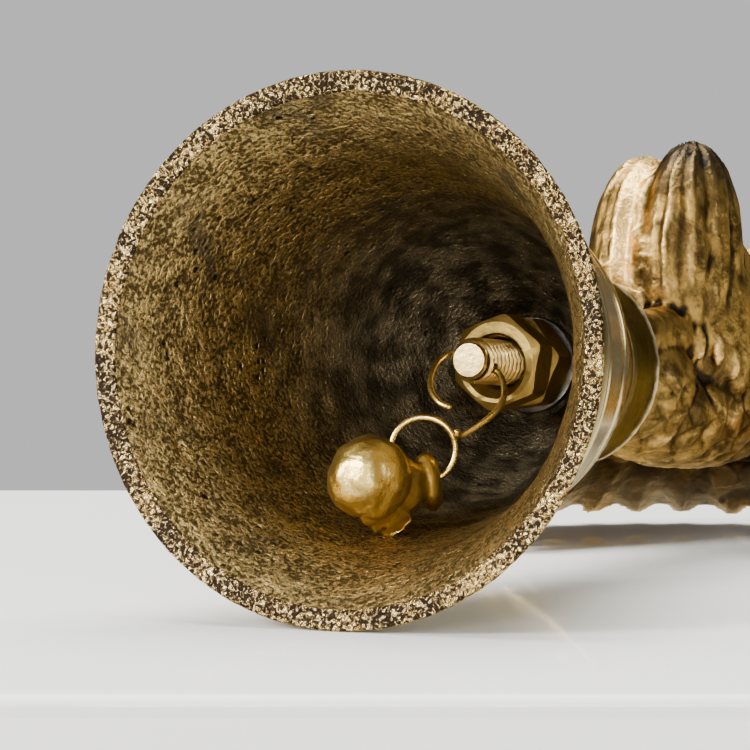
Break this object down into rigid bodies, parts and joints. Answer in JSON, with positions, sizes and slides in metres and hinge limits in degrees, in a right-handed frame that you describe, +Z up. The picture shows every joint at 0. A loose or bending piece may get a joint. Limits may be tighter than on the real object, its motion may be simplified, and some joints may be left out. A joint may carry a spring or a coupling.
{
  "type": "hand bell",
  "caption": "Brass hand bell lying on its side: flared round mouth, a clapper hung on a wire hook and ring inside, and a cast kneeling winged figure as the handle.",
  "frame": {"origin": "centre of the bounding box's bottom face, on the table the bell lies on", "axes": "+Y along the bell towards the handle, mouth at -Y; +Z up as the bell lies; +X to the right seen from the mouth"},
  "size_m": [0.0906, 0.1884, 0.0678],
  "materials": {
    "polished_brass": "polished outside, as cast inside",
    "antique_brass": "aged, mottled brown casting with worn bright edges",
    "brushed_brass": "turned, brown and brushed round its axis",
    "bright_brass": "satin, machined or drawn",
    "steel": "plain grey, slightly dull"
  },
  "bodies": {
    "bell": {"bell_shell": "polished_brass", "handle_base": "brushed_brass", "handle_figure": "antique_brass", "clapper_stud": "bright_brass", "hanger_nut": "bright_brass", "lock_nut": "bright_brass", "crown_washer": "steel"},
    "hook": {"wire_hook": "bright_brass"},
    "ring": {"clapper_ring": "bright_brass"},
    "clapper": {"clapper": "bright_brass"}
  },
  "joints": [
    {"name": "hook_swing", "type": "hinge", "parent": "bell", "child": "hook", "pos_m": [0, -0.0511, 0.03114], "axis": [0.9336, -0.0244, -0.3575], "range_deg": [-65, 0]},
    {"name": "ring_swing", "type": "hinge", "parent": "hook", "child": "ring", "pos_m": [0, -0.06222, 0.02378], "axis": [0.2931, -0.5221, 0.8009], "range_deg": [-60, 8]},
    {"name": "clapper_swing", "type": "hinge", "parent": "ring", "child": "clapper", "pos_m": [-0.00105, -0.06359, 0.01625], "axis": [-0.9254, 0.379, 0], "range_deg": [0, 28]}
  ]
}
